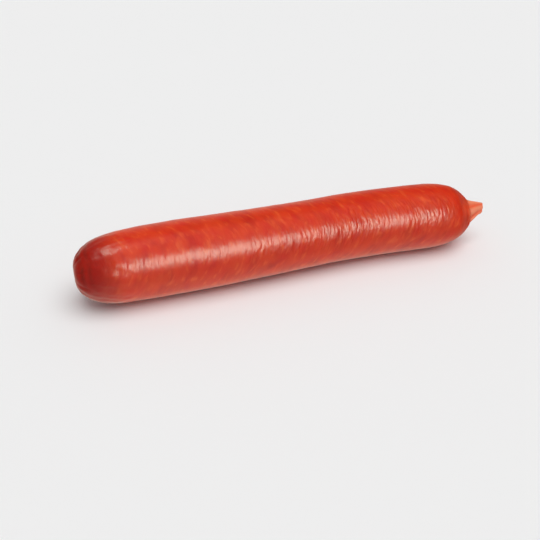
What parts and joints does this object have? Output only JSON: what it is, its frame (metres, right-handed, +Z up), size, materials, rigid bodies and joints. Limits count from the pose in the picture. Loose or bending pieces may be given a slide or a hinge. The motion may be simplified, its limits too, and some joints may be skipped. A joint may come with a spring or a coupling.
{
  "type": "cured sausage",
  "caption": "Thick cured sausage in a natural casing with a rounded closed end and a short gathered tail of empty casing, lying on its side as food to slice and serve.",
  "frame": {"origin": "on the surface that the sausage lies on, under the middle of its bounding box", "axes": "+X along the length from the closed end to the gathered tail, +Y towards the side that the body bows to, +Z up"},
  "size_m": [0.2374, 0.0416, 0.0378],
  "materials": {
    "casing": "moist gloss over red-orange meat with paler flecks of fat, drier and paler at the tail"
  },
  "bodies": {
    "root": {"sausage": "casing"}
  },
  "joints": []
}
